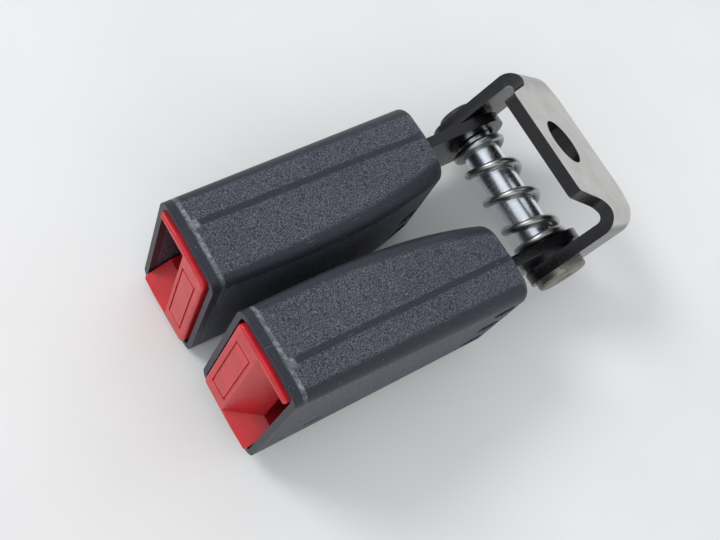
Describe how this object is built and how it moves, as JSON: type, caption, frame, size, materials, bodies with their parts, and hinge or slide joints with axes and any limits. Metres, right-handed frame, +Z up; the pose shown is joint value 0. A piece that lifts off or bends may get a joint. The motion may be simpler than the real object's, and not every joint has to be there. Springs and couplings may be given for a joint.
{
  "type": "twin seat belt buckle",
  "caption": "Twin rear seat belt buckle: red end-release press buttons in charcoal housings, steel straps on one sprung pin in a bolted U bracket.",
  "frame": {"origin": "middle of the footprint, on the surface that the part lies on", "axes": "+X from the press buttons to the bracket, Y along the pin, +Z up"},
  "size_m": [0.1144, 0.055, 0.0465],
  "materials": {
    "cover_plastic": "fine grained charcoal",
    "button_plastic": "satin red",
    "black_steel": "black e-coat",
    "bracket_steel": "glossy black e-coat",
    "latch_steel": "zinc plated",
    "ejector_plastic": "natural acetal",
    "spring_wire": "drawn spring wire",
    "rivet_zinc": "yellow passivated zinc",
    "sleeve_zinc": "blue passivated zinc",
    "washer_steel": "phosphated"
  },
  "bodies": {
    "bracket_assembly": {"bracket": "bracket_steel", "rivet_pin": "rivet_zinc", "spacer_sleeve": "sleeve_zinc", "friction_washers": "washer_steel", "return_spring": "spring_wire"},
    "right_buckle": {"right_frame_strap": "black_steel", "right_outer_cover": "cover_plastic", "right_inner_cover": "cover_plastic", "right_ejector_spring": "spring_wire", "right_button_springs": "spring_wire", "right_latch_spring": "spring_wire"},
    "right_button": {"right_press_button": "button_plastic"},
    "right_latch": {"right_latch_plate": "latch_steel"},
    "right_ejector_slide": {"right_ejector": "ejector_plastic"},
    "left_buckle": {"left_frame_strap": "black_steel", "left_outer_cover": "cover_plastic", "left_inner_cover": "cover_plastic", "left_ejector_spring": "spring_wire", "left_button_springs": "spring_wire", "left_latch_spring": "spring_wire"},
    "left_button": {"left_press_button": "button_plastic"},
    "left_latch": {"left_latch_plate": "latch_steel"},
    "left_ejector_slide": {"left_ejector": "ejector_plastic"}
  },
  "joints": [
    {"name": "right_swing", "type": "hinge", "parent": "bracket_assembly", "child": "right_buckle", "pos_m": [0.03493, -0.01834, 0.01533], "axis": [0, 1, 0], "range_deg": [-90, 33]},
    {"name": "right_press", "type": "slide", "parent": "right_buckle", "child": "right_button", "axis": [0.9934, 0, -0.1149], "range_m": [0, 0.005], "stiffness_N_per_m": 900, "springref_m": -0.004, "deforming": ["right_button_springs"]},
    {"name": "right_latch_lift", "type": "hinge", "parent": "right_buckle", "child": "right_latch", "pos_m": [-0.00281, -0.01539, 0.0197], "axis": [-0.1149, 0, -0.9934], "range_deg": [0, 9.2], "deforming": ["right_latch_spring"]},
    {"name": "right_eject", "type": "slide", "parent": "right_buckle", "child": "right_ejector_slide", "axis": [0.9934, 0, -0.1149], "range_m": [0, 0.008], "stiffness_N_per_m": 400, "springref_m": -0.006, "deforming": ["right_ejector_spring"]},
    {"name": "left_swing", "type": "hinge", "parent": "bracket_assembly", "child": "left_buckle", "pos_m": [0.03493, 0.01834, 0.01533], "axis": [0, 1, 0], "range_deg": [-90, 36]},
    {"name": "left_press", "type": "slide", "parent": "left_buckle", "child": "left_button", "axis": [0.9982, 0, -0.0593], "range_m": [0, 0.005], "stiffness_N_per_m": 900, "springref_m": -0.004, "deforming": ["left_button_springs"]},
    {"name": "left_latch_lift", "type": "hinge", "parent": "left_buckle", "child": "left_latch", "pos_m": [-0.003, 0.01539, 0.01759], "axis": [0.0593, 0, 0.9982], "range_deg": [0, 9.2], "deforming": ["left_latch_spring"]},
    {"name": "left_eject", "type": "slide", "parent": "left_buckle", "child": "left_ejector_slide", "axis": [0.9982, 0, -0.0593], "range_m": [0, 0.008], "stiffness_N_per_m": 400, "springref_m": -0.006, "deforming": ["left_ejector_spring"]}
  ],
  "couplings": [
    {"joint": "right_latch_lift", "follows": "right_press", "rad_per_m": 32.114},
    {"joint": "left_latch_lift", "follows": "left_press", "rad_per_m": 32.114}
  ]
}
